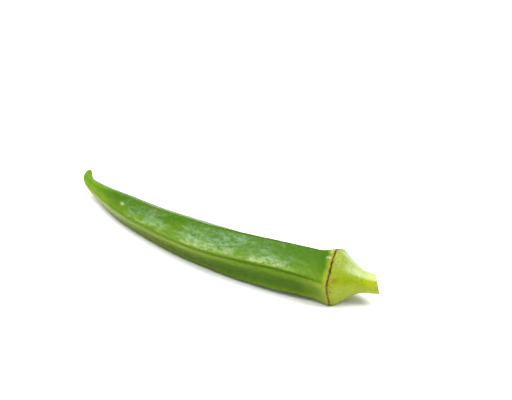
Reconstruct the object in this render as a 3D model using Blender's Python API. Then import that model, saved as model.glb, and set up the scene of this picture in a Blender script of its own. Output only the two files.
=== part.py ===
"""One fresh okra pod, picked and trimmed, lying on its side on a flat surface.

The pod grew as one piece: a five-ridged body that tapers to a hooked tip, the smooth cap that the
flower sat on, and the stub of stalk left by the knife.  So it is one solid, okra_pod.

Frame: +Z up, +X along the chord from the tip to the stalk, origin on the surface under the middle
of the pod's bounding box.  Every length below is in millimetres; MM turns them into the scene's
metres where a mesh is made.  Distances along the pod are measured on its curved axis, from the
stalk end.
"""

import math

import bmesh
import bpy
import numpy as np
from mathutils import Matrix, Vector

MM = 0.001

# Driving dimensions.
AXIS_LENGTH = 119.0
RING_AT = 13.7  # the scar ring, where the petals and bracts dropped off
RING_RADIUS = 9.3  # over the ridges, the widest place
STALK_RADIUS = 2.8
REST_TRIM = 0.25  # the soft ridges flatten this much where they carry the pod

# Radius over the ridges along the axis: (distance, radius).
PROFILE = (
    (0.0, STALK_RADIUS),
    (5.0, 3.5),
    (9.5, 6.3),
    (12.5, 8.8),
    (RING_AT, RING_RADIUS),
    (19.0, 8.0),
    (40.0, 7.8),
    (65.0, 7.0),
    (80.0, 5.9),
    (92.0, 5.0),
    (106.0, 2.9),
    (113.0, 1.9),
    (118.0, 1.2),
    (AXIS_LENGTH, 0.4),
)

# How far the section is from round (0) to five flat sides (1), hollowed a little past 1.
FLATNESS = (
    (0.0, 0.0),
    (8.0, 0.35),
    (12.0, 0.8),
    (RING_AT, 0.95),
    (60.0, 1.12),
    (100.0, 1.12),
    (115.0, 0.7),
    (AXIS_LENGTH, 0.2),
)

# The pod lies on the underside of the ring and of the belly, where its axis is this share of the radius
# over the ridges above the surface.  The axis runs straight over them, and the stalk and tip stand clear.
REST_SHARE = 0.88
BELLY_AT = 75.0
STALK_DROP = 0.6  # from the ring to the end of the stalk
TIP_LIFT = 2.2
LIFT_POWER = 12  # the higher, the nearer to the tip the lift begins

# Turn of the ridges about the axis, out of the upright: (distance, degrees).  They swing back just
# behind the ring.
TWIST = (
    (RING_AT, 4.0),
    (30.0, -6.0),
    (57.0, 3.0),
)
RIDGES = 5
RIDGE_ROUNDING = math.radians(4.0)

# In the level plane the axis is an arc, with a hook at the tip.  It starts at the heading that puts the
# chord from the tip to the stalk along X.
BODY_BEND = math.radians(39.0)
HOOK_BEND = math.radians(48.0)
HOOK_LENGTH = 9.0
START_HEADING = -(BODY_BEND + HOOK_BEND * HOOK_LENGTH / AXIS_LENGTH) / 2

# The knife cut crosses the axis here and leans off square to the stalk.
KNIFE_AT = 0.7
KNIFE_YAW = math.radians(17.0)
KNIFE_PITCH = math.radians(12.0)
STALK_SPARE = 2.5  # stalk past the end of the axis, for the knife to remove

# Mesh density.
STATIONS = 72
CROWDING = 0.105  # how much closer the stations stand at the two ends than in the middle
AROUND = 60
AXIS_STEPS = 1200
SHARP_FROM = math.radians(35.0)


def eased(knots, where):
    """The value at each place, on a smooth curve that passes through the knots and never overshoots."""
    x, y = np.array(knots, float).T
    width = np.diff(x)
    slope = np.diff(y) / width
    tangent = np.zeros(len(x))
    tangent[0], tangent[-1] = slope[0], slope[-1]
    same_way = slope[:-1] * slope[1:] > 0
    before, after = 2 * width[1:] + width[:-1], width[1:] + 2 * width[:-1]
    safe = np.where(slope == 0, 1.0, slope)
    mean = (before + after) / (before / safe[:-1] + after / safe[1:])
    tangent[1:-1] = np.where(same_way, mean, 0.0)
    where = np.clip(where, x[0], x[-1])
    left = np.clip(np.searchsorted(x, where) - 1, 0, len(x) - 2)
    t = (where - x[left]) / width[left]
    rise = (3 - 2 * t) * t * t
    start = t * (1 - t) ** 2 * width[left] * tangent[left]
    end = t * t * (t - 1) * width[left] * tangent[left + 1]
    return y[left] * (1 - rise) + y[left + 1] * rise + start + end


def heading(distance):
    """The axis's heading in the level plane, away from -X, at each distance from the stalk end."""
    share = np.clip(distance / AXIS_LENGTH, 0.0, 1.0)
    hook = np.clip((distance - AXIS_LENGTH) / HOOK_LENGTH + 1, 0.0, 1.0)
    return START_HEADING + BODY_BEND * share + HOOK_BEND * hook * hook * (3 - 2 * hook)


def axis_height(distance):
    """Height of the axis above the surface before the underside is flattened."""
    ring, belly = REST_SHARE * eased(PROFILE, np.array([RING_AT, BELLY_AT]))
    past_ring = np.maximum(distance - RING_AT, 0.0) / (BELLY_AT - RING_AT)
    before_ring = np.clip(1 - distance / RING_AT, 0.0, 1.0)
    lift = TIP_LIFT * np.clip(distance / AXIS_LENGTH, 0.0, 1.0) ** LIFT_POWER
    return ring + (belly - ring) * past_ring - STALK_DROP * before_ring + lift


def axis_points(distance):
    """Points on the pod's axis at these distances; less than 0 runs straight on past the stalk end."""
    steps = np.linspace(0.0, AXIS_LENGTH, AXIS_STEPS)
    stride = np.diff(steps)
    along = heading((steps[1:] + steps[:-1]) / 2)
    x = np.concatenate([[0.0], np.cumsum(-np.cos(along) * stride)])
    y = np.concatenate([[0.0], np.cumsum(np.sin(along) * stride)])
    past = np.minimum(distance, 0.0)
    return np.stack(
        [
            np.interp(distance, steps, x) - past * math.cos(START_HEADING),
            np.interp(distance, steps, y) + past * math.sin(START_HEADING),
            axis_height(distance),
        ],
        axis=-1,
    )


def ridge_share(angle, flatness):
    """Radius at each angle from a ridge as a share of the radius over the ridges."""
    half = math.pi / RIDGES
    off_ridge = np.abs((angle + half) % (2 * half) - half)
    off_ridge = np.sqrt(off_ridge**2 + RIDGE_ROUNDING**2)
    side = math.cos(half - RIDGE_ROUNDING) / np.cos(half - off_ridge)
    return 1 - flatness * (1 - side)


def on_surface(distance, angle):
    """Points on the pod's surface, by distance and by angle round the axis from the top ridge."""
    radius = eased(PROFILE, distance) * ridge_share(angle, eased(FLATNESS, distance))
    turned = angle + np.radians(eased(TWIST, distance))
    way = heading(distance)
    up = np.array([0.0, 0.0, 1.0])
    level = np.stack([-np.sin(way), -np.cos(way), np.zeros_like(way)], axis=-1)
    outward = np.cos(turned)[:, None] * up + np.sin(turned)[:, None] * level
    return axis_points(distance) + radius[:, None] * outward


def station_distances():
    """Where the rings of vertices sit along the axis: closer together at the cap, the ring and the tip."""
    share = np.linspace(0.0, 1.0, STATIONS)
    crowded = share - CROWDING * np.sin(2 * math.pi * share)
    return -STALK_SPARE + crowded * (AXIS_LENGTH + STALK_SPARE)


def make_pod_body(collection):
    """A capped cylinder, cut into rings along its length, its vertices moved onto the pod's surface."""
    mesh = bpy.data.meshes.new("okra_pod")
    shape = bmesh.new()
    bmesh.ops.create_cone(
        shape, cap_ends=True, segments=AROUND, radius1=1.0, radius2=1.0, depth=1.0
    )
    lengthwise = [edge for edge in shape.edges if abs(edge.verts[0].co.z - edge.verts[1].co.z) > 0.5]
    bmesh.ops.subdivide_edges(shape, edges=lengthwise, cuts=STATIONS - 2, use_grid_fill=True)
    places = np.array([vertex.co for vertex in shape.verts])
    station = np.rint((places[:, 2] + 0.5) * (STATIONS - 1)).astype(int)
    angles = np.arctan2(places[:, 0], places[:, 1])
    points = on_surface(station_distances()[station], angles) * MM
    for vertex, point in zip(shape.verts, points):
        vertex.co = point
    bmesh.ops.recalc_face_normals(shape, faces=shape.faces)
    shape.to_mesh(mesh)
    shape.free()
    mesh.shade_smooth()
    pod = bpy.data.objects.new("okra_pod", mesh)
    collection.objects.link(pod)
    return pod


def make_cutter(name, collection, side, place):
    """A cube that is only used to cut with."""
    mesh = bpy.data.meshes.new(name)
    shape = bmesh.new()
    bmesh.ops.create_cube(shape, size=side * MM)
    shape.to_mesh(mesh)
    shape.free()
    cutter = bpy.data.objects.new(name, mesh)
    cutter.matrix_world = place
    cutter.hide_render = True
    cutter.display_type = "WIRE"
    collection.objects.link(cutter)
    return cutter


def cut(body, cutter):
    """Takes the cutter's volume out of the body."""
    boolean = body.modifiers.new(cutter.name, "BOOLEAN")
    boolean.operation = "DIFFERENCE"
    boolean.solver = "EXACT"
    boolean.object = cutter


def rest_place(side):
    """Where the cube that flattens the underside stands: its top face REST_TRIM up, under the whole pod."""
    return Matrix.Translation(Vector((-AXIS_LENGTH / 2, 0.0, REST_TRIM - side / 2)) * MM)


def knife_place(side):
    """Where the knife's cube stands: its near face on the slanted cut."""
    yaw = KNIFE_YAW - START_HEADING
    facing = Vector(
        (
            math.cos(yaw) * math.cos(KNIFE_PITCH),
            math.sin(yaw) * math.cos(KNIFE_PITCH),
            math.sin(KNIFE_PITCH),
        )
    )
    cut_middle = Vector(axis_points(np.array([KNIFE_AT]))[0])
    turned = facing.to_track_quat("X", "Z").to_matrix().to_4x4()
    return Matrix.Translation((cut_middle + facing * side / 2) * MM) @ turned


def apply_cuts(pod):
    """Turns the pod and its cuts into one plain mesh."""
    graph = bpy.context.evaluated_depsgraph_get()
    mesh = bpy.data.meshes.new_from_object(pod.evaluated_get(graph))
    pod.modifiers.clear()
    pod.data = mesh
    mesh.set_sharp_from_angle(angle=SHARP_FROM)


def centre_on_origin(mesh):
    """Moves the mesh so that the origin is under the middle of its bounding box, on the surface."""
    corners = np.array([vertex.co for vertex in mesh.vertices])
    low, high = corners.min(axis=0), corners.max(axis=0)
    middle = (low + high) / 2
    mesh.transform(Matrix.Translation((-middle[0], -middle[1], -low[2])))


def skin_material():
    """Fresh green skin: soft, slightly waxy."""
    material = bpy.data.materials.new("okra_skin")
    material.use_nodes = True
    shader = material.node_tree.nodes["Principled BSDF"]
    shader.inputs["Base Color"].default_value = (0.16, 0.30, 0.045, 1.0)
    shader.inputs["Roughness"].default_value = 0.45
    shader.inputs["Metallic"].default_value = 0.0
    return material


def main():
    for old in list(bpy.data.objects):
        bpy.data.objects.remove(old, do_unlink=True)
    parts = bpy.data.collections.new("okra_pod")
    cutters = bpy.data.collections.new("cutters")
    for collection in (parts, cutters):
        bpy.context.scene.collection.children.link(collection)

    pod = make_pod_body(parts)
    rest_side = 2 * AXIS_LENGTH
    knife_side = 4 * RING_RADIUS
    cut(pod, make_cutter("rest_surface", cutters, rest_side, rest_place(rest_side)))
    cut(pod, make_cutter("knife", cutters, knife_side, knife_place(knife_side)))
    bpy.context.view_layer.update()
    apply_cuts(pod)
    centre_on_origin(pod.data)
    pod.data.materials.clear()
    pod.data.materials.append(skin_material())


main()
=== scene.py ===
"""A fresh okra pod lying on its side: its looks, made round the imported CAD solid.

The skin is one closed surface that Geometry Nodes sweep along the pod's curved axis.  Fine hairs
are scattered over it.  The rules for the axis, the radius and the five-sided section repeat those
of the CAD solid, which the skin stands for.  Lengths in the tables are in millimetres.
"""

import math

import bmesh
import bpy
import numpy as np
from bpy.props import FloatProperty, FloatVectorProperty, IntProperty, PointerProperty
from mathutils import Matrix, Vector


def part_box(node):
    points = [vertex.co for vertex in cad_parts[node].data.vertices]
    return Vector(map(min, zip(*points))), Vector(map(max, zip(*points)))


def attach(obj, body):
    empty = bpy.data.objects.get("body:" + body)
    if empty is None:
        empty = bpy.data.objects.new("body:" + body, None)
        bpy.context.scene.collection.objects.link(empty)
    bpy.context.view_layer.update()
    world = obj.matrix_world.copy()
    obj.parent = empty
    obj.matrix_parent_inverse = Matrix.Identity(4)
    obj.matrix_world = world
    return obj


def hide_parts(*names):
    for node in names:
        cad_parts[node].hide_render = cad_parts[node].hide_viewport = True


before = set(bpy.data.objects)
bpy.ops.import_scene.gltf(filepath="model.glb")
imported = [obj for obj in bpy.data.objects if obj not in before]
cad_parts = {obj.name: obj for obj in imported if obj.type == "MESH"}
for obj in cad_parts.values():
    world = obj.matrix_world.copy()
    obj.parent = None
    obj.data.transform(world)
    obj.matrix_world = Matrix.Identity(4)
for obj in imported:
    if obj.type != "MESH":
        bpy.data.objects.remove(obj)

bl_info = {
    "name": "Okra pod",
    "version": (1, 0, 0),
    "blender": (4, 5, 0),
    "location": "View3D > Sidebar > Okra",
    "description": "Makes a fresh okra pod, its fine hairs and a plain stage",
    "category": "Add Mesh",
}

MM = 0.001
POD = "okra_pod"
BODY = "root"
SKIN = "okra_skin"
HAIRS = "okra_hairs"

# The skin's sizes that a user can set, as its tree names them.
SKIN_SIZES = ("Rib Height", "Rib Spread", "Seam Depth", "Vein Depth", "Unevenness", "Seed Bulge")
SKIN_SIZES += ("Ring Depth", "Ring Wander", "Pith Sink")

# The pod's main sizes and the knife's cut, as in the CAD solid.
AXIS_LENGTH = 119.0
RING_AT = 13.7
RING_RADIUS = 9.3
STALK_RADIUS = 2.8
REST_TRIM = 0.25
KNIFE_AT = 0.7
KNIFE_YAW = math.radians(17.0)
KNIFE_PITCH = math.radians(12.0)
RIDGES = 5
RIDGE_ROUNDING = math.radians(4.0)

# The axis's arc in the level plane, and the hook at the tip.
BODY_BEND = math.radians(39.0)
HOOK_BEND = math.radians(48.0)
HOOK_LENGTH = 9.0
START_HEADING = -(BODY_BEND + HOOK_BEND * HOOK_LENGTH / AXIS_LENGTH) / 2

# Radius over the ridges: (distance from the stalk end, radius).
STALK_AND_CAP = ((0.0, STALK_RADIUS), (5.0, 3.5), (9.5, 6.3), (12.5, 8.8), (RING_AT, RING_RADIUS))
SIDES = ((19.0, 8.0), (40.0, 7.8), (65.0, 7.0), (80.0, 5.9), (92.0, 5.0))
TIP = ((106.0, 2.9), (113.0, 1.9), (118.0, 1.2), (AXIS_LENGTH, 0.4))
PROFILE = STALK_AND_CAP + SIDES + TIP

# How far the section is from round (0) to five flat sides (1), hollowed a little past 1.
CAP_FLATNESS = ((0.0, 0.0), (8.0, 0.35), (12.0, 0.8), (RING_AT, 0.95))
FLATNESS = (*CAP_FLATNESS, (60.0, 1.12), (100.0, 1.12), (115.0, 0.7), (AXIS_LENGTH, 0.2))

# Where the pod lies on the surface, how high its axis runs there and how the two ends stand.
REST_SHARE = 0.88
BELLY_AT = 75.0
STALK_DROP = 0.6
TIP_LIFT = 2.2
LIFT_POWER = 12

# Turn of the ridges about the axis, in degrees: (distance, turn).
TWIST = ((RING_AT, 4.0), (30.0, -6.0), (57.0, 3.0))

# Where the sections crowd together: (distance, spread, how many times closer), and how strongly
# a section's points crowd on its ridges, where 1 is not at all.
CROWDED = ((KNIFE_AT, 0.8, 1.6), (RING_AT, 1.6, 3.2), (AXIS_LENGTH, 2.5, 1.6))
RIDGE_CROWDING = 1.4
STATIONS = 540
CUT_STATIONS = 26
TIP_STATIONS = 8
AXIS_STEPS = 1200
CROWDING_STEPS = 4000
MERGE_DISTANCE = 0.001

# The length of stalk whose sections lean to meet the knife, how near the rim the cut's last
# section and the skin's first one come, the knife's lip and the grain of the pith.  A point's
# share of the way from the cut's middle to its rim is OFF_CUT where it isn't on the cut.
LEAN_LENGTH = 4.5
FACE_REACH = 0.985
RIM_REACH = 0.998
CUT_LIP = 0.07
PITH_GRAIN = 0.1
OFF_CUT = 2.0

# The depth of the tip's dome, where the ribs begin and end, how far apart the seeds lie, and how
# much each side's row is shifted against the next, in radians.
DOME_DEPTH = 0.25
RIBS_BEGIN = (RING_AT + 0.5, RING_AT + 5.0)
RIBS_END = (AXIS_LENGTH - 16.0, AXIS_LENGTH - 5.0)
SEED_SPACING = 6.4
SEED_STAGGER = 2.1

# How far the hairs' tips and roots keep from the surface that the pod lies on.
HAIR_TIP_CLEARANCE = 0.06
HAIR_ROOT_CLEARANCE = 0.12

# Half the floor's side in metres, and the width of the camera's sensor.
FLOOR_REACH = 3.0
SENSOR_WIDTH = 36.0


def add_object(name, data):
    """A new object in the scene."""
    made = bpy.data.objects.new(name, data)
    bpy.context.scene.collection.objects.link(made)
    return made


# ---------------------------------------------------------------- the pod's axis


def eased(knots, where):
    """The value at each place, on a smooth curve through the knots that never overshoots."""
    x, y = np.array(knots, float).T
    width = np.diff(x)
    slope = np.diff(y) / width
    tangent = np.zeros(len(x))
    tangent[0], tangent[-1] = slope[0], slope[-1]
    same_way = slope[:-1] * slope[1:] > 0
    before, after = 2 * width[1:] + width[:-1], width[1:] + 2 * width[:-1]
    safe = np.where(slope == 0, 1.0, slope)
    mean = (before + after) / (before / safe[:-1] + after / safe[1:])
    tangent[1:-1] = np.where(same_way, mean, 0.0)
    where = np.clip(where, x[0], x[-1])
    left = np.clip(np.searchsorted(x, where) - 1, 0, len(x) - 2)
    t = (where - x[left]) / width[left]
    rise = (3 - 2 * t) * t * t
    start = t * (1 - t) ** 2 * width[left] * tangent[left]
    end = t * t * (t - 1) * width[left] * tangent[left + 1]
    return y[left] * (1 - rise) + y[left + 1] * rise + start + end


def heading(distance):
    """The axis's heading in the level plane, away from -X, in radians."""
    share = np.clip(distance / AXIS_LENGTH, 0.0, 1.0)
    hook = np.clip((distance - AXIS_LENGTH) / HOOK_LENGTH + 1, 0.0, 1.0)
    return START_HEADING + BODY_BEND * share + HOOK_BEND * hook * hook * (3 - 2 * hook)


def axis_height(distance):
    """Height of the axis above the surface before the underside is flattened."""
    ring, belly = REST_SHARE * eased(PROFILE, np.array([RING_AT, BELLY_AT]))
    past_ring = np.maximum(distance - RING_AT, 0.0) / (BELLY_AT - RING_AT)
    before_ring = np.clip(1 - distance / RING_AT, 0.0, 1.0)
    lift = TIP_LIFT * np.clip(distance / AXIS_LENGTH, 0.0, 1.0) ** LIFT_POWER
    return ring + (belly - ring) * past_ring - STALK_DROP * before_ring + lift


def axis_points(distance):
    """Points on the pod's axis at these distances, with the stalk end over x = y = 0."""
    steps = np.linspace(0.0, AXIS_LENGTH, AXIS_STEPS)
    stride = np.diff(steps)
    along = heading((steps[1:] + steps[:-1]) / 2)
    x = np.concatenate([[0.0], np.cumsum(-np.cos(along) * stride)])
    y = np.concatenate([[0.0], np.cumsum(np.sin(along) * stride)])
    height = axis_height(distance) - REST_TRIM
    return np.stack([np.interp(distance, steps, x), np.interp(distance, steps, y), height], axis=-1)


def section_distances(count):
    """Where the sections stand along the skin: closer together at the cut, the ring and the tip."""
    fine = np.linspace(KNIFE_AT, AXIS_LENGTH, CROWDING_STEPS)
    crowd = np.ones_like(fine)
    for place, spread, more in CROWDED:
        crowd += (more - 1) * np.exp(-(((fine - place) / spread) ** 2))
    total = np.concatenate([[0.0], np.cumsum((crowd[1:] + crowd[:-1]) / 2)])
    return np.interp(np.linspace(0.0, total[-1], count), total, fine)


def knife_normal():
    """The way the knife's cut faces: outwards from the stalk, off square."""
    yaw = KNIFE_YAW - START_HEADING
    flat = math.cos(KNIFE_PITCH)
    return Vector((math.cos(yaw) * flat, math.sin(yaw) * flat, math.sin(KNIFE_PITCH)))


def make_axis():
    """A line of points, one for each section of the skin, that carries the sections' sizes.

    The first sections fill the knife's cut from its middle to its rim, and the last close the tip.
    """
    body = section_distances(STATIONS)
    face = np.linspace(0.0, 1.0, CUT_STATIONS)
    dome = np.linspace(0.0, math.pi / 2, TIP_STATIONS + 1)[1:]
    cut, tip = np.full(CUT_STATIONS, KNIFE_AT), np.full(TIP_STATIONS, AXIS_LENGTH)
    distance = np.concatenate([cut, body, tip])
    open_share = np.concatenate([face * FACE_REACH, np.ones(STATIONS), np.cos(dome)])
    open_share[CUT_STATIONS] = RIM_REACH
    cut_share = np.concatenate([face, np.full(STATIONS + TIP_STATIONS, OFF_CUT)])
    lean = np.clip(1 - (distance - KNIFE_AT) / LEAN_LENGTH, 0.0, 1.0)
    lean = lean * lean * (3 - 2 * lean)

    way = heading(distance)
    points = axis_points(distance)
    forward = np.stack([-np.cos(way), np.sin(way), np.zeros_like(way)], axis=-1)
    closing = np.concatenate([np.zeros(CUT_STATIONS + STATIONS), np.sin(dome) * DOME_DEPTH])
    points += forward * closing[:, None]
    level = np.stack([-np.sin(way), -np.cos(way), np.zeros_like(way)], axis=-1)

    mesh = bpy.data.meshes.new("okra_axis")
    mesh.from_pydata((points * MM).tolist(), [(i, i + 1) for i in range(len(points) - 1)], [])
    sizes = {
        "distance": distance * MM,
        "reach": eased(PROFILE, distance) * open_share * MM,
        "girth": eased(PROFILE, distance) * MM,
        "flatness": eased(FLATNESS, distance),
        "twist": np.radians(eased(TWIST, distance)),
        "lean": lean,
        "cut_share": cut_share,
    }
    for name, values in sizes.items():
        data = mesh.attributes.new(name, "FLOAT", "POINT").data
        data.foreach_set("value", values.astype(np.float32))
    for name, vectors in {"level": level, "forward": forward}.items():
        data = mesh.attributes.new(name, "FLOAT_VECTOR", "POINT").data
        data.foreach_set("vector", vectors.astype(np.float32).ravel())
    return add_object("okra_axis", mesh)


# ---------------------------------------------------------------- node trees


class Field:
    """A socket in a node tree that adds, multiplies and so on, so that rules read as on paper."""

    def __init__(self, nodes, socket):
        self.nodes, self.socket = nodes, socket

    def __add__(self, other):
        return self.nodes.math("ADD", self, other)

    def __sub__(self, other):
        return self.nodes.math("SUBTRACT", self, other)

    def __rsub__(self, other):
        return self.nodes.math("SUBTRACT", other, self)

    def __mul__(self, other):
        return self.nodes.math("MULTIPLY", self, other)

    def __truediv__(self, other):
        return self.nodes.math("DIVIDE", self, other)

    def __neg__(self):
        return self * -1.0

    __radd__ = __add__
    __rmul__ = __mul__


class Nodes:
    """Adds nodes to one tree and joins them."""

    def __init__(self, tree):
        self.tree = tree

    def new(self, kind, inputs=None, **settings):
        """A node with its settings and inputs filled in."""
        node = self.tree.nodes.new(kind)
        for name, value in settings.items():
            setattr(node, name, value)
        for key, value in (inputs or {}).items():
            self.feed(node.inputs[key], value)
        return node

    def feed(self, socket, value):
        """Joins a field or a socket to an input, or sets the input to a value."""
        if isinstance(value, Field):
            value = value.socket
        if isinstance(value, bpy.types.NodeSocket):
            self.tree.links.new(value, socket)
        else:
            socket.default_value = value

    def out(self, node, name=0):
        return Field(self, node.outputs[name])

    def math(self, operation, *values):
        return self.out(self.new("ShaderNodeMath", dict(enumerate(values)), operation=operation))

    def vector(self, operation, *values):
        """Vector maths.  SCALE takes the vector and then the number."""
        keys = (0, 3) if operation == "SCALE" else range(len(values))
        node = self.new("ShaderNodeVectorMath", dict(zip(keys, values)), operation=operation)
        return self.out(node, "Value" if operation in ("DOT_PRODUCT", "LENGTH") else "Vector")

    def combine(self, x, y, z):
        return self.out(self.new("ShaderNodeCombineXYZ", {0: x, 1: y, 2: z}))

    def separate(self, vector):
        node = self.new("ShaderNodeSeparateXYZ", {0: vector})
        return [self.out(node, axis) for axis in range(3)]

    def hump(self, value, middle, width):
        """1 at the middle and falling away smoothly on both sides."""
        off = (value - middle) / width
        return self.math("EXPONENT", -(off * off))

    def rise(self, value, low, high):
        """0 below the low value and 1 above the high one, with a smooth step between them."""
        inputs = {"Value": value, "From Min": low, "From Max": high}
        node = self.new("ShaderNodeMapRange", inputs, interpolation_type="SMOOTHSTEP")
        return self.out(node)

    def remap(self, value, low, high, to_low, to_high):
        """The range from low to high, stretched to the other one and held at its ends."""
        ends = zip(("From Min", "From Max", "To Min", "To Max"), (low, high, to_low, to_high))
        return self.out(self.new("ShaderNodeMapRange", {"Value": value, **dict(ends)}))

    def noise(self, place, along, across, detail=2.0, roughness=0.5, shift=0.0):
        """Noise from 0 to 1 at a place: its grains in a metre, along X and across it."""
        offset = (shift, shift * 0.7, shift * 1.3)
        moved = self.vector("MULTIPLY_ADD", place, (along, across, across), offset)
        inputs = {"Vector": moved, "Scale": 1.0, "Detail": detail, "Roughness": roughness}
        return self.out(self.new("ShaderNodeTexNoise", inputs, normalize=True))

    def mix(self, share, first, second, blend="MIX"):
        """The first colour turning into the second as the share goes from 0 to 1."""
        inputs = {0: share, 6: first, 7: second}
        node = self.new("ShaderNodeMix", inputs, data_type="RGBA", blend_type=blend)
        return self.out(node, 2)

    def coordinates(self, kind):
        return self.out(self.new("ShaderNodeTexCoord"), kind)

    def tidy(self):
        """Sets the nodes out in columns, each to the right of the nodes it reads."""
        column = {node.name: 0 for node in self.tree.nodes}
        links = [(link.from_node.name, link.to_node.name) for link in self.tree.links]
        for _ in column:
            for before, after in links:
                column[after] = max(column[after], column[before] + 1)
        filled = {}
        for node in self.tree.nodes:
            place = column[node.name]
            node.location = (place * 220, -filled.get(place, 0) * 200)
            filled[place] = filled.get(place, 0) + 1


class ShapeNodes(Nodes):
    """The nodes of one Geometry Nodes tree with named inputs: {name: kind}."""

    def __init__(self, name, inputs):
        super().__init__(bpy.data.node_groups.new(name, "GeometryNodeTree"))
        self.tree.is_modifier = True
        sockets = self.tree.interface
        for way in ("INPUT", "OUTPUT"):
            sockets.new_socket("Geometry", in_out=way, socket_type="NodeSocketGeometry")
        for label, kind in inputs.items():
            sockets.new_socket(label, in_out="INPUT", socket_type="NodeSocket" + kind)
        self.given = self.new("NodeGroupInput")
        self.made = None

    def size(self, name):
        """One of the tree's named inputs."""
        return self.out(self.given, name)

    def shape_of(self, name):
        """The geometry of the object that one of the inputs names."""
        inputs = {"Object": self.size(name)}
        info = self.new("GeometryNodeObjectInfo", inputs, transform_space="ORIGINAL")
        return info.outputs["Geometry"]

    def stored(self, name, kind="FLOAT"):
        """A value stored on the geometry."""
        named = self.new("GeometryNodeInputNamedAttribute", {"Name": name}, data_type=kind)
        return self.out(named)

    def then(self, kind, inputs=None, **settings):
        """Takes the geometry made so far through one more node."""
        node = self.new(kind, {"Geometry": self.made, **(inputs or {})}, **settings)
        self.made = node.outputs[0]

    def finish(self):
        """The tree, ended with the geometry made so far."""
        self.new("NodeGroupOutput", {"Geometry": self.made})
        self.tidy()
        return self.tree


def chosen(settings, names):
    """The user's settings, under the names that a tree gives them."""
    return {name: getattr(settings, name.lower().replace(" ", "_")) for name in names}


def run_tree(holder, tree, values):
    """Runs a tree on an object with its inputs set, and leaves the object a plain mesh."""
    modifier = holder.modifiers.new(tree.name, "NODES")
    modifier.node_group = tree
    for item in tree.interface.items_tree:
        if item.item_type == "SOCKET" and item.in_out == "INPUT" and item.name in values:
            modifier[item.identifier] = values[item.name]
    holder.update_tag()
    graph = bpy.context.evaluated_depsgraph_get()
    mesh = bpy.data.meshes.new_from_object(holder.evaluated_get(graph))
    holder.modifiers.remove(modifier)
    holder.data = mesh
    if mesh.materials[0] is None:
        mesh.materials.pop(index=0)
    if not mesh.polygons:
        raise RuntimeError(tree.name + " made no faces")


# ---------------------------------------------------------------- skin


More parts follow.
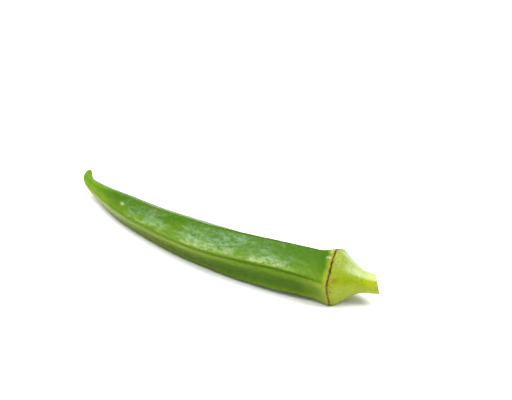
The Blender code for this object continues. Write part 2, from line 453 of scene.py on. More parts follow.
def skin_tree():
    """Sweeps the section along the axis, with its ribs, veins, scar ring and knife cut."""
    inputs = {"Axis": "Object", "Around": "Int", "Knife Normal": "Vector"}
    inputs.update({name: "Float" for name in ("Ridge Rounding", *SKIN_SIZES)})
    inputs.update({name: "Material" for name in ("Body", "Cap", "Cut")})
    nodes = ShapeNodes("Okra skin", inputs)
    size = nodes.size
    line = nodes.shape_of("Axis")
    columns = size("Around") + 1
    index = nodes.out(nodes.new("GeometryNodeInputIndex"))
    station = nodes.math("FLOOR", (index + 0.5) / columns)
    column = index - station * columns

    def at_station(value, kind="FLOAT"):
        inputs = {"Geometry": line, "Value": value, "Index": station}
        return nodes.out(nodes.new("GeometryNodeSampleIndex", inputs, data_type=kind))

    def carried(name, kind="FLOAT"):
        return at_station(nodes.stored(name, kind), kind)

    centre = at_station(nodes.out(nodes.new("GeometryNodeInputPosition")), "FLOAT_VECTOR")
    level, forward = carried("level", "FLOAT_VECTOR"), carried("forward", "FLOAT_VECTOR")
    distance, reach, girth = carried("distance"), carried("reach"), carried("girth")
    flatness, twist, lean = carried("flatness"), carried("twist"), carried("lean")
    cut_share = carried("cut_share")

    # The angle round the pod, with the points closest together on the ridges.
    half = math.pi / RIDGES
    share = column * RIDGES / size("Around")
    ridge = nodes.math("FLOOR", share + 0.5)
    between = (share - ridge) * 2.0
    crowded = nodes.math("POWER", nodes.math("ABSOLUTE", between), RIDGE_CROWDING)
    off_ridge = nodes.math("SIGN", between) * crowded * half
    angle = ridge * (2 * half) + off_ridge

    # The section: five flat sides with rounded ridges.
    rounding = size("Ridge Rounding")
    off = nodes.math("SQRT", off_ridge * off_ridge + rounding * rounding)
    side = nodes.math("COSINE", half - rounding) / nodes.math("COSINE", half - off)
    section = 1.0 - flatness * (1.0 - side)

    # The same place on a pod that is pulled straight, for patterns that follow the skin.
    up, aside = nodes.math("COSINE", angle), nodes.math("SINE", angle)
    place = nodes.combine(distance, girth * up, girth * aside)
    ridge_gap = off_ridge * girth

    # Each ridge is a pair of low ribs with a fine seam between them.
    body = nodes.rise(distance, RIBS_BEGIN[0] * MM, RIBS_BEGIN[1] * MM)
    body = body * (1.0 - nodes.rise(distance, RIBS_END[0] * MM, RIBS_END[1] * MM))
    spread = size("Rib Spread")
    rib = nodes.hump(nodes.math("ABSOLUTE", ridge_gap), spread, spread * 0.5) * size("Rib Height")
    seam = nodes.hump(ridge_gap, 0.0, spread * 0.3) * size("Seam Depth")
    broken = nodes.remap(nodes.noise(place, 140, 300), 0.3, 0.7, 0.6, 1.0)
    vein = (nodes.noise(place, 45, 1400, detail=3.0) - 0.5) * size("Vein Depth") * 2.0
    uneven = (nodes.noise(place, 90, 160, detail=1.0, shift=3.0) - 0.5) * size("Unevenness") * 2.0
    turns = distance * (2 * math.pi / (SEED_SPACING * MM))
    row = nodes.math("SINE", turns + ridge * SEED_STAGGER)
    middle = nodes.rise(nodes.math("ABSOLUTE", between), 0.35, 0.95)
    seeds = row * middle * size("Seed Bulge")

    # The scar ring: a crack with a raised lip on the body's side and a lower one on the cap's.
    wander = (nodes.noise(place, 0, 230, detail=3.0, shift=7.0) - 0.5) * size("Ring Wander") * 4.0
    ring_gap = distance - RING_AT * MM - wander
    ring_depth = size("Ring Depth")
    torn = nodes.remap(nodes.noise(place, 900, 700, shift=5.0), 0.3, 0.7, 0.4, 1.3)
    ring = nodes.hump(ring_gap, 0.38 * MM, 0.22 * MM) * ring_depth * 0.55
    ring = ring + nodes.hump(ring_gap, -0.32 * MM, 0.18 * MM) * ring_depth * 0.2
    ring = ring - nodes.hump(ring_gap, 0.0, 0.16 * MM) * ring_depth * torn
    scabs = nodes.rise(nodes.noise(place, 1300, 1000, shift=9.0), 0.54, 0.74)
    ring = ring + scabs * nodes.hump(ring_gap, 0.1 * MM, 0.4 * MM) * ring_depth * 0.7

    on_skin = nodes.rise(cut_share, 1.2, 1.8)
    lip = nodes.hump(distance, KNIFE_AT * MM, 0.5 * MM) * (CUT_LIP * MM)
    detail = (rib - seam) * broken * body + (vein + uneven) * (0.25 + body * 0.75) + seeds * body
    radius = reach * section + (detail + ring + lip) * on_skin

    # Where the point stands, with the stalk end sheared onto the plane of the knife's cut.
    turned = angle + twist
    sideways = nodes.vector("SCALE", level, nodes.math("SINE", turned))
    upwards = nodes.combine(0.0, 0.0, nodes.math("COSINE", turned))
    across = nodes.vector("SCALE", nodes.vector("ADD", sideways, upwards), radius)
    knife = size("Knife Normal")
    slant = nodes.vector("DOT_PRODUCT", knife, across) / nodes.vector("DOT_PRODUCT", knife, forward)
    shear = nodes.vector("SCALE", forward, -(slant * lean))
    fibres = (nodes.noise(place, 0, 1500) - 0.5) * (PITH_GRAIN * MM)
    pith = 1.0 - nodes.rise(cut_share, 0.5, 0.68)
    sunk = (nodes.hump(cut_share, 0.84, 0.1) * 0.4 - pith) * size("Pith Sink")
    sunk = (sunk + fibres * nodes.rise(cut_share, 0.98, 0.9)) * (1.0 - on_skin)
    point = nodes.vector("ADD", nodes.vector("ADD", centre, across), shear)
    point = nodes.vector("ADD", point, nodes.vector("SCALE", knife, sunk))
    x, y, z = nodes.separate(point)
    resting = nodes.combine(x, y, nodes.math("MAXIMUM", z, 0.0))

    points = nodes.new("GeometryNodeAttributeDomainSize", {"Geometry": line}, component="MESH")
    inputs = {"Vertices X": points.outputs["Point Count"], "Vertices Y": columns}
    nodes.made = nodes.new("GeometryNodeMeshGrid", inputs).outputs["Mesh"]
    kept = {
        "along": distance,
        "off_ridge": nodes.math("ABSOLUTE", ridge_gap),
        "ring_gap": ring_gap,
        "cut_share": cut_share,
        "sun": up,
    }
    store = "GeometryNodeStoreNamedAttribute"
    for name, value in kept.items():
        nodes.then(store, {"Name": name, "Value": value}, data_type="FLOAT")
    nodes.then(store, {"Name": "place", "Value": place}, data_type="FLOAT_VECTOR")
    nodes.then("GeometryNodeSetPosition", {"Position": resting})
    nodes.then("GeometryNodeMergeByDistance", {"Distance": MERGE_DISTANCE * MM})
    nodes.then("GeometryNodeSetShadeSmooth")
    nodes.then("GeometryNodeRealizeInstances")

    painted = {
        "Body": True,
        "Cap": nodes.math("LESS_THAN", nodes.stored("ring_gap"), 0.0),
        "Cut": nodes.math("LESS_THAN", nodes.stored("cut_share"), 1.4),
    }
    for name, faces in painted.items():
        nodes.then("GeometryNodeSetMaterial", {"Selection": faces, "Material": size(name)})
    return nodes.finish()


def fit_to_cad(piece):
    """Moves the piece's mesh so that the middle of its footprint is the CAD solid's."""
    low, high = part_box(POD)
    corners = np.array([vertex.co for vertex in piece.data.vertices])
    middle = (corners.min(axis=0) + corners.max(axis=0)) / 2
    shift = (low + high) / 2 - Vector(middle)
    piece.data.transform(Matrix.Translation((shift.x, shift.y, 0.0)))


def make_skin(shape, colours):
    """The pod's skin, closed all round, with the knife's cut and the tip."""
    axis = make_axis()
    skin = add_object(SKIN, bpy.data.meshes.new(SKIN))
    values = {
        "Axis": axis,
        "Ridge Rounding": RIDGE_ROUNDING,
        "Knife Normal": tuple(knife_normal()),
        "Body": body_material(colours),
        "Cap": cap_material(colours),
        "Cut": cut_material(colours),
        **chosen(shape, ("Around", *SKIN_SIZES)),
    }
    run_tree(skin, skin_tree(), values)
    bpy.data.objects.remove(axis, do_unlink=True)
    fit_to_cad(skin)
    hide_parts(POD)
    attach(skin, BODY)


# ---------------------------------------------------------------- the skin's finishes


class PaintNodes(Nodes):
    """The nodes of one material, and the colours that it may use."""

    def __init__(self, name, colours):
        self.material = bpy.data.materials.new(name)
        self.material.use_nodes = True
        super().__init__(self.material.node_tree)
        self.colours = colours

    def tint(self, name):
        return (*getattr(self.colours, name), 1.0)

    def shade(self, inputs):
        """Joins or sets the shader's inputs, and hands over the material."""
        shader = self.tree.nodes["Principled BSDF"]
        for name, value in inputs.items():
            self.feed(shader.inputs[name], value)
        self.tidy()
        return self.material


class Finish(PaintNodes):
    """One of the skin's finishes, which reads what the skin's tree stored on the mesh."""

    def __init__(self, name, colours):
        super().__init__(name, colours)
        self.place = self.stored("place", "Vector")

    def stored(self, name, output="Fac"):
        return self.out(self.new("ShaderNodeAttribute", attribute_name=name), output)

    def texture(self, along, across, **more):
        """Noise that follows the skin."""
        return self.noise(self.place, along, across, **more)

    def paint(self, colour, share, name):
        """The colour, turning into a named one where the share is 1."""
        return self.mix(share, colour, self.tint(name))

    def ramp(self, value, stops):
        """A colour that runs through named ones: (place in millimetres, name)."""
        node = self.new("ShaderNodeValToRGB", {0: value / (stops[-1][0] * MM)})
        stops_made = node.color_ramp.elements
        while len(stops_made) < len(stops):
            stops_made.new(1.0)
        for made, (where, name) in zip(stops_made, stops):
            made.position = where / stops[-1][0]
            made.color = self.tint(name)
        return self.out(node, "Color")

    def mark(self, distance, degrees, length, width, ragged=0.5):
        """1 inside a small ragged mark on the skin and 0 outside it; sizes in millimetres."""
        girth = float(eased(PROFILE, np.array([distance]))[0])
        turn = math.radians(degrees)
        middle = (distance * MM, girth * math.cos(turn) * MM, girth * math.sin(turn) * MM)
        gap = self.vector("SUBTRACT", self.place, middle)
        gap = self.vector("MULTIPLY", gap, (1 / (length * MM), 1 / (width * MM), 1 / (width * MM)))
        edge = (self.texture(1800, 1800, shift=distance) - 0.5) * ragged * 2.0
        return 1.0 - self.rise(self.vector("LENGTH", gap) + edge, 0.3, 1.0)

    def dots(self, cells, radius, share):
        """1 in small dots: cells in a metre, radius as a share of a cell, share of cells filled."""
        scaled = self.vector("SCALE", self.place, float(cells))
        cell = self.new("ShaderNodeTexVoronoi", {"Vector": scaled, "Scale": 1.0})
        chance = self.separate(cell.outputs["Color"])
        size = (0.5 + chance[1]) * radius
        inside = 1.0 - self.rise(self.out(cell, "Distance") / size, 0.6, 1.0)
        return inside * self.math("LESS_THAN", chance[0], share)

    def finish(self, colour, roughness, height, relief, gloss):
        """The material, with its colour, roughness and bump; relief is the bump's depth."""
        bump = self.new("ShaderNodeBump", {"Strength": 0.5, "Distance": relief, "Height": height})
        return self.shade(
            {
                "Base Color": colour,
                "Roughness": roughness,
                "Normal": bump.outputs["Normal"],
                "Specular IOR Level": gloss,
                "Subsurface Weight": 0.1,
                "Subsurface Radius": (0.6, 1.0, 0.3),
                "Subsurface Scale": 1.0 * MM,
            }
        )


def body_material(colours):
    """The body: green above and olive elsewhere, the olive partly painted shade, with seams, bloom
    and painted sheen, a collar, painted glints, painted shade underneath and small scars.
    """
    nodes = Finish("Okra body", colours)
    along, off_ridge = nodes.stored("along"), nodes.stored("off_ridge")
    ring_gap, sun = nodes.stored("ring_gap"), nodes.stored("sun")
    patches = nodes.texture(70, 170, detail=3.0)
    streaks = nodes.texture(160, 1500, detail=3.0, roughness=0.6)
    grain = nodes.texture(3200, 4200)

    # The two upper sides: deep green at the top ridge, turning lime down to the next one.
    deep = ((96, "deep"), (107, "tip_deep"))
    lime = ((40, "lime_dark"), (70, "lime"), (92, "lime_dark"), (110, "tip"))
    bands = nodes.texture(45, 480, shift=3.0)
    lower = 1.0 - nodes.rise(sun + (patches - 0.5) * 0.6 + (bands - 0.5) * 0.5, 0.42, 0.98)
    upper = nodes.mix(lower, nodes.ramp(along, deep), nodes.ramp(along, lime))
    upper = nodes.paint(upper, nodes.rise(streaks, 0.48, 0.7) * 0.45, "deep_streak")
    # Whitish bloom on the upper sides, partly the skin's own bloom and partly painted sheen where
    # the light catches the fine hairs.
    bloom_and_sheen = bloom_and_sheen_share(nodes, along, off_ridge, sun)
    frost_and_sheen = nodes.mix(nodes.rise(sun, 0.42, 0.72), nodes.tint("bloom_and_sheen_low"), nodes.tint("bloom_and_sheen"))
    upper = nodes.mix(bloom_and_sheen, upper, frost_and_sheen)

    # The other sides: olive, partly their own colour and partly painted shade for the sides turned
    # from the light, paler by the ridges, greyer towards the tip and darker underneath with painted
    # shade.
    olive = ((14, "olive_cap"), (23, "olive"), (46, "olive"), (78, "olive_dull"), (97, "olive_end"))
    pale = ((14, "pale_cap"), (23, "pale"), (38, "pale"))
    pale = (*pale, (62, "pale_far"), (84, "pale_far"), (98, "pale_end"))
    beside = nodes.rise(off_ridge + (patches - 0.5) * (1.6 * MM), 1.0 * MM, 3.4 * MM)
    other = nodes.mix(beside, nodes.ramp(along, pale), nodes.ramp(along, olive))
    other = nodes.paint(other, nodes.rise(streaks, 0.5, 0.8) * 0.25, "olive_streak")
    # Painted shade: the other sides turn darker low down, between about 34 and 102 mm, where they
    # face the floor.
    under = nodes.rise(along, 34 * MM, 50 * MM) * (1.0 - nodes.rise(along, 92 * MM, 102 * MM))
    under = under * (1.0 - nodes.rise(sun + (patches - 0.5) * 0.3, -0.6, -0.2))
    other = nodes.paint(other, under * 0.45, "olive_painted_shade")
    # The upper sides take the green and the rest take the olive, which is partly the pod's own
    # colour and partly painted shade.
    colour = nodes.mix(nodes.rise(sun, 0.275, 0.335), other, upper)

    # The dark seam on each ridge, and pale specks of bristle roots beside it.
    mottle = nodes.texture(1300, 2000, detail=3.0, roughness=0.7, shift=9.0)
    seam = nodes.hump(off_ridge, 0.0, 0.32 * MM) * nodes.remap(along, 38 * MM, 64 * MM, 0.95, 0.4)
    seam = seam * (1.0 - nodes.rise(along, 76 * MM, 98 * MM)) * nodes.rise(ring_gap, 1 * MM, 9 * MM)
    seam = seam * nodes.remap(mottle, 0.35, 0.65, 0.6, 1.1)
    colour = nodes.paint(colour, seam, "seam")
    roots = nodes.dots(1500, 0.16, 0.35) * (1.0 - nodes.rise(off_ridge, 1.2 * MM, 3.6 * MM) * 0.7)
    colour = nodes.paint(colour, roots * 0.3, "bloom_and_sheen")

    # The yellow-green collar before the ring, and painted highlights: whitish glints where the top
    # ridge meets the ring and one further along the upper side.
    collar = 1.0 - nodes.rise(ring_gap + (patches - 0.5) * (1.6 * MM), 0.5 * MM, 2.4 * MM)
    colour = nodes.paint(colour, collar * 0.8, "collar")
    for distance, degrees, width in ((14.5, 0.0, 1.0), (15.0, 15.0, 0.7), (91.0, 35.0, 0.9)):
        glint_spot = nodes.mark(distance, degrees, 1.2, width, 1.4)
        colour = nodes.paint(colour, glint_spot * 0.45, "painted_glint")
    colour = nodes.paint(colour, nodes.mark(51.0, 125.0, 1.2, 0.7) * 0.7, "bruise")
    colour = nodes.paint(colour, nodes.mark(77.0, 15.0, 3.2, 1.8) * 0.35, "bruise")
    colour = nodes.mix(1.0, colour, nodes.remap(mottle, 0.3, 0.7, 0.7, 1.3), "MULTIPLY")
    colour = scar_ring(nodes, colour, ring_gap)

    roughness = nodes.remap(patches, 0.3, 0.7, 0.42, 0.58) + bloom_and_sheen * 0.1
    return nodes.finish(colour, roughness, grain * 0.5 + streaks * 0.8 + mottle, 0.05 * MM, 0.06)


def bloom_and_sheen_share(nodes, along, off_ridge, sun):
    """How much whitish bloom and painted sheen shows: a soft veil, its clusters and its fine frosty
    grains.
    """
    thick = nodes.hump(along, 46 * MM, 18 * MM) + nodes.hump(along, 81 * MM, 9 * MM) * 0.55
    patch = nodes.texture(110, 260, detail=3.0, roughness=0.6, shift=2.0)
    veil = nodes.rise(patch + (thick - 1.0) * 0.2, 0.27, 0.56) * nodes.rise(thick, 0.05, 0.4)
    clusters = nodes.texture(500, 900, roughness=0.6, shift=6.0)
    share = 0.08 + nodes.rise(clusters, 0.35, 0.65) * 0.42 + nodes.dots(2000, 0.4, 0.6) * 0.35
    share = share * veil * nodes.rise(off_ridge, 0.3 * MM, 1.1 * MM)
    return share * nodes.remap(sun, 0.5, 0.97, 1.0, 0.6)


def scar_ring(nodes, colour, ring_gap):
    """Paints the scar ring over a colour: a ragged dark line with tanned edges."""
    ragged = nodes.texture(900, 750, detail=3.0, roughness=0.75, shift=4.0)
    tan = nodes.hump(ring_gap, -0.1 * MM, 0.75 * MM) * nodes.rise(ragged, 0.34, 0.6)
    colour = nodes.paint(colour, tan * 0.9, "scar_tan")
    line = nodes.hump(ring_gap + (ragged - 0.5) * (1.5 * MM), 0.0, 0.3 * MM)
    darkness = nodes.rise(nodes.texture(0, 190, detail=3.0, shift=1.5), 0.34, 0.54)
    brown = nodes.mix(darkness, nodes.tint("scar_tan"), nodes.tint("scar"))
    return nodes.mix(nodes.rise(line, 0.15, 0.75), colour, brown)


def cap_material(colours):
    """The smooth waxy cap, golden next to the cut, with fine dark specks, tan blemishes and a
    painted highlight on top.
    """
    nodes = Finish("Okra cap", colours)
    along, ring_gap, sun = nodes.stored("along"), nodes.stored("ring_gap"), nodes.stored("sun")
    patches = nodes.texture(130, 170, detail=3.0)
    streaks = nodes.texture(120, 900, detail=3.0, roughness=0.6)
    grain = nodes.texture(1600, 1600, detail=3.0, roughness=0.7)
    under = 1.0 - nodes.rise(sun + (patches - 0.5) * 0.3, 0.1, 0.45)
    colour = nodes.mix(under, nodes.tint("cap"), nodes.tint("cap_low"))
    mottle = nodes.rise(streaks * 0.6 + patches * 0.4, 0.48, 0.66)
    colour = nodes.paint(colour, mottle * 0.55, "cap_pale")
    colour = nodes.paint(colour, 1.0 - nodes.rise(along, -1.0 * MM, 8.5 * MM), "stalk")
    # Painted highlight: a whitish patch on top of the cap, strongest near the cut, standing in for
    # the glint of the light.
    painted_highlight = nodes.rise(sun + (patches - 0.5) * 0.3, 0.74, 0.95)
    colour = nodes.paint(colour, painted_highlight * nodes.remap(along, 7 * MM, 11 * MM, 0.6, 0.1), "painted_highlight")
    colour = nodes.mix(1.0, colour, nodes.remap(grain, 0.3, 0.7, 0.8, 1.2), "MULTIPLY")
    colour = nodes.paint(colour, nodes.dots(850, 0.18, 0.7) * 0.65, "speck")
    smudge = nodes.rise(nodes.texture(300, 260, detail=3.0, shift=8.0), 0.54, 0.7)
    smudge = nodes.hump(ring_gap, -0.6 * MM, 0.9 * MM) * smudge
    colour = nodes.paint(colour, smudge * 0.7, "scar_tan")
    colour = nodes.paint(colour, nodes.mark(12.0, 60.0, 1.5, 1.2, 1.4) * 0.8, "blemish")
    colour = nodes.paint(colour, nodes.mark(6.0, 80.0, 2.4, 0.35, 1.0) * 0.45, "blemish")
    colour = nodes.paint(colour, nodes.mark(13.0, 90.0, 0.4, 0.7, 0.4) * 0.9, "scar")
    colour = scar_ring(nodes, colour, ring_gap)
    near_ring = nodes.rise(ring_gap, -2.8 * MM, -0.6 * MM)
    roughness = nodes.remap(patches, 0.3, 0.7, 0.3, 0.4) + near_ring * 0.25
    return nodes.finish(colour, roughness, grain * 0.8 + streaks * 0.8, 0.04 * MM, 0.2)


def cut_material(colours):
    """The knife's cut: pale pith inside a green rim."""
    nodes = Finish("Okra cut", colours)
    cut_share = nodes.stored("cut_share")
    fibres = nodes.texture(0, 2600)
    colour = nodes.mix(nodes.rise(fibres, 0.35, 0.7), nodes.tint("pith"), nodes.tint("pith_fibre"))
    rim = nodes.rise(cut_share + (fibres - 0.5) * 0.1, 0.56, 0.66)
    colour = nodes.paint(colour, rim, "cut_rim")
    colour = nodes.paint(colour, nodes.rise(cut_share, 0.9, 0.98) * 0.6, "pith")
    roughness = nodes.remap(fibres, 0.3, 0.7, 0.35, 0.6)
    return nodes.finish(colour, roughness, fibres, 0.08 * MM, 0.5)


# ---------------------------------------------------------------- hairs


def hair_tree():
    """Scatters hairs over the skin: more on the ridges and by the ring, none where it rests."""
    inputs = {"Density": "Float", "Length": "Float", "Thickness": "Float", "Seed": "Int"}
    nodes = ShapeNodes("Okra hairs", {"Skin": "Object", **inputs, "Material": "Material"})
    size = nodes.size
    ring_gap, cut_share = nodes.stored("ring_gap"), nodes.stored("cut_share")
    on_ridge = nodes.hump(nodes.stored("off_ridge"), 0.0, 0.6 * MM)
    by_ring = nodes.hump(ring_gap, 1.2 * MM, 1.5 * MM)
    body = nodes.rise(ring_gap, -0.3 * MM, 0.6 * MM)
    crowd = (0.8 + on_ridge * 0.5 + by_ring * 0.6) * (0.12 + body * 0.88)
    crowd = crowd * nodes.rise(cut_share, 1.5, 1.9)
    density = crowd * size("Density")
    inputs = {"Mesh": nodes.shape_of("Skin"), "Density": density, "Seed": size("Seed")}
    scattered = nodes.new("GeometryNodeDistributePointsOnFaces", inputs)
    nodes.made, normal = scattered.outputs["Points"], nodes.out(scattered, "Normal")

    def chance(low, high, seed, kind="FLOAT"):
        slot = 0 if kind == "FLOAT_VECTOR" else 2
        inputs = {slot: low, slot + 1: high, "Seed": size("Seed") + float(seed)}
        node = nodes.new("FunctionNodeRandomValue", inputs, data_type=kind)
        return nodes.out(node, 0 if kind == "FLOAT_VECTOR" else 1)

    wild = chance((-0.7, -0.7, -0.4), (0.7, 0.7, 0.7), 1, "FLOAT_VECTOR")
    way = nodes.vector("NORMALIZE", nodes.vector("ADD", normal, wild))
    length = chance(0.5, 1.3, 2) * size("Length")
    height = nodes.separate(nodes.out(nodes.new("GeometryNodeInputPosition")))[2]
    reach = nodes.separate(way)[2] * length
    low_tip = nodes.math("LESS_THAN", height + reach, HAIR_TIP_CLEARANCE * MM)
    low_root = nodes.math("LESS_THAN", height, HAIR_ROOT_CLEARANCE * MM)
    nodes.then("GeometryNodeDeleteGeometry", {"Selection": low_tip + low_root})
    inputs = {"Vertices": 3, "Radius Top": 0.0, "Radius Bottom": 1.0, "Depth": 1.0}
    hair = nodes.new("GeometryNodeMeshCone", inputs, fill_type="NGON")
    turned = nodes.new("FunctionNodeAlignRotationToVector", {"Vector": way}, axis="Z")
    radius = size("Thickness") * 0.5
    inputs = {
        "Points": nodes.made,
        "Instance": hair.outputs["Mesh"],
        "Rotation": turned.outputs[0],
        "Scale": nodes.combine(radius, radius, length),
    }
    nodes.made = nodes.new("GeometryNodeInstanceOnPoints", inputs).outputs[0]
    nodes.then("GeometryNodeRealizeInstances")
    nodes.then("GeometryNodeSetMaterial", {"Material": size("Material")})
    return nodes.finish()


def hair_material(colours):
    """Pale, slightly see-through hairs, some greener than others."""
    nodes = PaintNodes("Okra hairs", colours)
    varied = nodes.noise(nodes.coordinates("Object"), 900, 900, detail=1.0)
    pale = nodes.rise(varied, 0.3, 0.6)
    return nodes.shade(
        {
            "Base Color": nodes.mix(pale, nodes.tint("hair_root"), nodes.tint("hair")),
            "Roughness": nodes.remap(varied, 0.3, 0.7, 0.35, 0.55),
            "Transmission Weight": 0.3,
        }
    )


def make_hairs(skin, settings, colours):
    """The pod's short fine hairs, as one mesh."""
    hairs = add_object(HAIRS, bpy.data.meshes.new(HAIRS))
    values = chosen(settings, ("Density", "Length", "Thickness", "Seed"))
    run_tree(hairs, hair_tree(), {"Skin": skin, **values, "Material": hair_material(colours)})
    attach(hairs, BODY)


# ---------------------------------------------------------------- stage


def floor_material(colours):
    """A plain pale matt floor with the faintest unevenness."""
    nodes = PaintNodes("Floor", colours)
    varied = nodes.noise(nodes.coordinates("Object"), 30, 30)
    deeper = (*(channel * 0.985 for channel in colours.floor), 1.0)
    return nodes.shade(
        {
            "Base Color": nodes.mix(varied, nodes.tint("floor"), deeper),
            "Roughness": 0.9,
            "Specular IOR Level": 0.1,
        }
    )


def make_floor(colours):
    """A large flat floor under the pod."""
    mesh = bpy.data.meshes.new("floor")
    shape = bmesh.new()
    bmesh.ops.create_grid(shape, x_segments=1, y_segments=1, size=FLOOR_REACH)
    shape.to_mesh(mesh)
    shape.free()
    mesh.materials.append(floor_material(colours))
    add_object("floor", mesh)


def make_light(name, place, size, glow):
    """A soft square light, turned towards the pod; glow is the brightness of its face."""
    light = bpy.data.lights.new(name, "AREA")
    light.shape = "SQUARE"
    light.size = size
    light.energy = glow * math.pi * size * size
    lamp = add_object(name, light)
    lamp.location = place
    lamp.rotation_euler = (-Vector(place)).to_track_quat("-Z", "Y").to_euler()


def make_sky(stage, colours):
    """Soft light all round, brighter overhead than at the horizon."""
    world = bpy.data.worlds.new("studio")
    bpy.context.scene.world = world
    world.use_nodes = True
    nodes = Nodes(world.node_tree)
    sky = world.node_tree.nodes["Background"]
    sky.inputs["Color"].default_value = (*colours.sky, 1.0)
    height = nodes.separate(nodes.coordinates("Generated"))[2]
    strength = nodes.remap(height, 0.0, 1.0, stage.sky_low, stage.sky_high)
    nodes.feed(sky.inputs["Strength"], strength)
    nodes.tidy()


def make_camera(stage):
    """The camera, looking down on the pod from its ridged side."""
    camera = bpy.data.cameras.new("camera")
    camera.lens = stage.lens
    camera.sensor_width = SENSOR_WIDTH
    camera.clip_start = 0.01
    camera.clip_end = 20.0
    view = add_object("camera", camera)
    flat = math.cos(stage.elevation) * stage.distance
    aim = Vector((stage.aim[0], stage.aim[1], 0.0))
    back = Vector((math.sin(stage.azimuth) * flat, -math.cos(stage.azimuth) * flat, 0.0))
    back.z = math.sin(stage.elevation) * stage.distance
    view.location = aim + back
    view.rotation_euler = (-back).to_track_quat("-Z", "Y").to_euler()
    bpy.context.scene.camera = view


def make_stage(stage, colours):
    """Floor, light all round, a large light above, a smaller one to the side, and the camera."""
    make_floor(colours)
    make_sky(stage, colours)
    make_light("overhead", stage.overhead, stage.overhead_size, stage.overhead_glow)
    make_light("window", stage.window, stage.window_size, stage.window_glow)
    make_camera(stage)
    bpy.context.scene.view_settings.view_transform = "Standard"


# ---------------------------------------------------------------- add-on


def setting(kind, name, default, description, **more):
    return kind(name=name, default=default, description=description, **more)


def measure(name, default, description):
    return setting(FloatProperty, name, default, description, min=0.0, unit="LENGTH", precision=5)


def swatch(name, default, description):
    more = {"subtype": "COLOR", "size": 3, "min": 0.0, "max": 1.0}
    return setting(FloatVectorProperty, name, default, description, **more)


def bearing(name, degrees, description):
    return setting(FloatProperty, name, math.radians(degrees), description, subtype="ANGLE")


def position(name, default, description):
    size = len(default)
    return setting(FloatVectorProperty, name, default, description, size=size, unit="LENGTH")


def number(name, default, description):
    return setting(FloatProperty, name, default, description, min=0.0)


class OkraShape(bpy.types.PropertyGroup):
    around: setting(IntProperty, "Points round", 165, "Round the skin, a multiple of five", min=25)
    rib_height: measure("Rib height", 0.1 * MM, "How far the two ribs of a ridge stand up")
    rib_spread: measure("Rib spread", 0.8 * MM, "From a ridge's seam to the middle of each rib")
    seam_depth: measure("Seam depth", 0.08 * MM, "Depth of the fine seam along each ridge")
    vein_depth: measure("Vein depth", 0.04 * MM, "Height of the fine lengthwise veins")
    unevenness: measure("Unevenness", 0.1 * MM, "Height of the gentle swells in the skin")
    seed_bulge: measure("Seed bulge", 0.05 * MM, "How far the seeds push the sides out")
    ring_depth: measure("Ring depth", 0.18 * MM, "Depth of the scar ring's crack")
    ring_wander: measure("Ring wander", 0.22 * MM, "How far the scar ring strays")
    pith_sink: measure("Pith sink", 0.12 * MM, "How far the pith lies below the cut's rim")


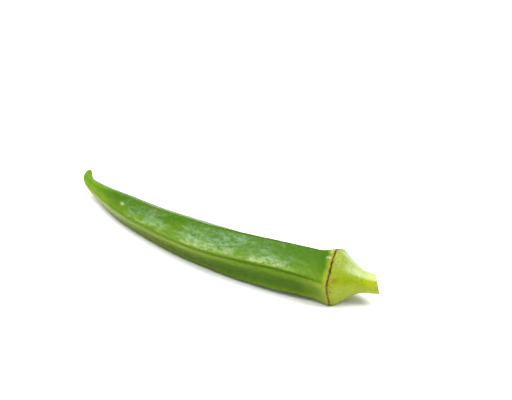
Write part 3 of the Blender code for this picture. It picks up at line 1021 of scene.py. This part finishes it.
class OkraColours(bpy.types.PropertyGroup):
    deep: swatch("Deep green", (0.04, 0.107, 0.001), "The upper sides, by the top ridge")
    deep_streak: swatch("Deep streak", (0.03, 0.095, 0.001), "Fine streaks on the upper sides")
    lime_dark: swatch("Lime, dark", (0.075, 0.152, 0.003), "The upper sides, lower down")
    lime: swatch("Lime", (0.095, 0.18, 0.01), "The same, past the middle")
    tip: swatch("Tip", (0.135, 0.215, 0.013), "The hooked tip, lower down")
    tip_deep: swatch("Tip, deep", (0.09, 0.185, 0.004), "The hooked tip, by the top ridge")
    # Bloom colours: partly the skin's own bloom, partly painted sheen.
    bloom_and_sheen: swatch("Bloom", (0.24, 0.37, 0.24), "The whitish bloom on the upper sides")
    bloom_and_sheen_low: swatch("Bloom, low", (0.36, 0.41, 0.19), "The same, lower down")
    olive_cap: swatch("Olive, cap end", (0.13, 0.2, 0.006), "The other sides, near the cap")
    # Olive: partly the other sides' own colour, partly painted shade.
    olive: swatch("Olive", (0.043, 0.1, 0.0), "The other sides")
    olive_dull: swatch("Olive, dull", (0.085, 0.12, 0.004), "The other sides past the middle")
    olive_end: swatch("Olive, tip end", (0.235, 0.285, 0.13), "The other sides, near the tip")
    # Painted shade for the other sides low down.
    olive_painted_shade: swatch("Olive, underneath", (0.025, 0.065, 0.001), "The other sides, low down")
    olive_streak: swatch("Olive streak", (0.12, 0.2, 0.02), "Fine streaks on the other sides")
    pale_cap: swatch("Pale olive, cap end", (0.2, 0.27, 0.01), "Beside the ridges, near the cap")
    pale: swatch("Pale olive", (0.087, 0.168, 0.001), "Beside the ridges")
    pale_far: swatch("Pale olive, far half", (0.15, 0.23, 0.022), "The same past the middle")
    pale_end: swatch("Pale olive, tip end", (0.225, 0.275, 0.1), "Beside the ridges, near the tip")
    seam: swatch("Seam", (0.025, 0.06, 0.001), "The fine seam on each ridge")
    collar: swatch("Collar", (0.21, 0.28, 0.014), "The band next to the ring")
    # Painted highlights: the whitish glints.
    painted_glint: swatch("Knuckle", (0.42, 0.5, 0.25), "Whitish spots")
    bruise: swatch("Bruise", (0.11, 0.09, 0.02), "Small brown scars")
    cap: swatch("Cap", (0.165, 0.225, 0.001), "The upper part of the cap")
    cap_low: swatch("Cap, underside", (0.215, 0.27, 0.002), "The lower part of the cap")
    cap_pale: swatch("Cap, pale", (0.235, 0.29, 0.02), "Paler patches of the cap")
    # Painted highlight on top of the cap.
    painted_highlight: swatch("Wax", (0.37, 0.43, 0.2), "The wax on top of the cap")
    stalk: swatch("Stalk", (0.275, 0.32, 0.004), "The stalk next to the cut")
    speck: swatch("Speck", (0.065, 0.07, 0.003), "Fine dark specks on the cap")
    blemish: swatch("Blemish", (0.17, 0.1, 0.003), "Orange-brown blemishes")
    scar: swatch("Scar", (0.044, 0.03, 0.001), "The scar ring's crack")
    scar_tan: swatch("Scar edge", (0.19, 0.13, 0.004), "The tanned parts of the scar ring")
    pith: swatch("Pith", (0.38, 0.44, 0.28), "The pith in the cut")
    pith_fibre: swatch("Pith fibres", (0.26, 0.33, 0.16), "The pith's fibres")
    cut_rim: swatch("Cut rim", (0.19, 0.26, 0.03), "The green rim of the cut")
    hair: swatch("Hair", (0.55, 0.64, 0.38), "The fine hairs")
    hair_root: swatch("Hair root", (0.33, 0.45, 0.16), "The greener hairs")
    floor: swatch("Floor", (0.9, 0.9, 0.9), "The floor")
    sky: swatch("Sky", (1.0, 1.0, 1.0), "The light all round")


class OkraHairs(bpy.types.PropertyGroup):
    density: number("Density", 7e6, "Hairs for each square metre")
    length: measure("Length", 0.28 * MM, "Usual length of a hair")
    thickness: measure("Thickness", 0.024 * MM, "Thickness of a hair at its root")
    seed: setting(IntProperty, "Seed", 4, "Places the hairs anew")


class OkraStage(bpy.types.PropertyGroup):
    azimuth: bearing("Azimuth", 36.1, "Camera's turn about the pod")
    elevation: bearing("Elevation", 33.0, "Camera's height as an angle")
    aim: position("Aim", (-6.6 * MM, 32.2 * MM), "Where on the floor the camera looks")
    distance: measure("Distance", 0.45, "From there to the camera")
    lens: number("Lens", 94.4, "Focal length in millimetres")
    sky_low: number("Horizon", 0.45, "Light at the horizon")
    sky_high: number("Overhead", 0.8, "Light overhead")
    overhead: position("Overhead light", (-0.34, -0.13, 1.46), "Where the large light stands")
    overhead_size: measure("Overhead light's size", 1.4, "Side of the large light")
    overhead_glow: number("Overhead glow", 6.5, "Brightness of its face")
    window: position("Window", (0.97, 0.32, 1.24), "Where the smaller light stands")
    window_size: measure("Window size", 0.65, "Side of the smaller light")
    window_glow: number("Window glow", 14.5, "Brightness of its face")


class OKRA_OT_skin(bpy.types.Operator):
    """Makes the pod's skin in place of the plain CAD solid"""

    bl_idname = "okra.skin"
    bl_label = "Make skin"

    def execute(self, context):
        make_skin(context.scene.okra_shape, context.scene.okra_colours)
        return {"FINISHED"}


class OKRA_OT_hairs(bpy.types.Operator):
    """Scatters fine hairs over the skin"""

    bl_idname = "okra.hairs"
    bl_label = "Make hairs"

    def execute(self, context):
        skin = context.scene.objects[SKIN]
        make_hairs(skin, context.scene.okra_hairs, context.scene.okra_colours)
        return {"FINISHED"}


class OKRA_OT_stage(bpy.types.Operator):
    """Sets up the floor, the light and the camera"""

    bl_idname = "okra.stage"
    bl_label = "Make stage"

    def execute(self, context):
        make_stage(context.scene.okra_stage, context.scene.okra_colours)
        return {"FINISHED"}


class OKRA_PT_panel(bpy.types.Panel):
    """Lists the pod's pieces in the order in which they are made"""

    bl_label = "Okra pod"
    bl_space_type = "VIEW_3D"
    bl_region_type = "UI"
    bl_category = "Okra"

    def draw(self, context):
        scene = context.scene
        for heading_text, settings, operator in (
            ("Skin", scene.okra_shape, OKRA_OT_skin),
            ("Hairs", scene.okra_hairs, OKRA_OT_hairs),
            ("Stage", scene.okra_stage, OKRA_OT_stage),
        ):
            box = self.layout.box()
            box.label(text=heading_text)
            for name in settings.__annotations__:
                box.prop(settings, name)
            box.operator(operator.bl_idname)
        box = self.layout.box()
        box.label(text="Colours")
        for name in scene.okra_colours.__annotations__:
            box.prop(scene.okra_colours, name)


SETTINGS = {
    "okra_shape": OkraShape,
    "okra_colours": OkraColours,
    "okra_hairs": OkraHairs,
    "okra_stage": OkraStage,
}
CLASSES = (*SETTINGS.values(), OKRA_OT_skin, OKRA_OT_hairs, OKRA_OT_stage, OKRA_PT_panel)


def register():
    for each in CLASSES:
        bpy.utils.register_class(each)
    for name, group in SETTINGS.items():
        setattr(bpy.types.Scene, name, PointerProperty(type=group))


def unregister():
    for name in SETTINGS:
        delattr(bpy.types.Scene, name)
    for each in reversed(CLASSES):
        bpy.utils.unregister_class(each)


def main():
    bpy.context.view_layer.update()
    register()
    bpy.ops.okra.skin()
    bpy.ops.okra.hairs()
    bpy.ops.okra.stage()


if __name__ == "__main__":
    main()
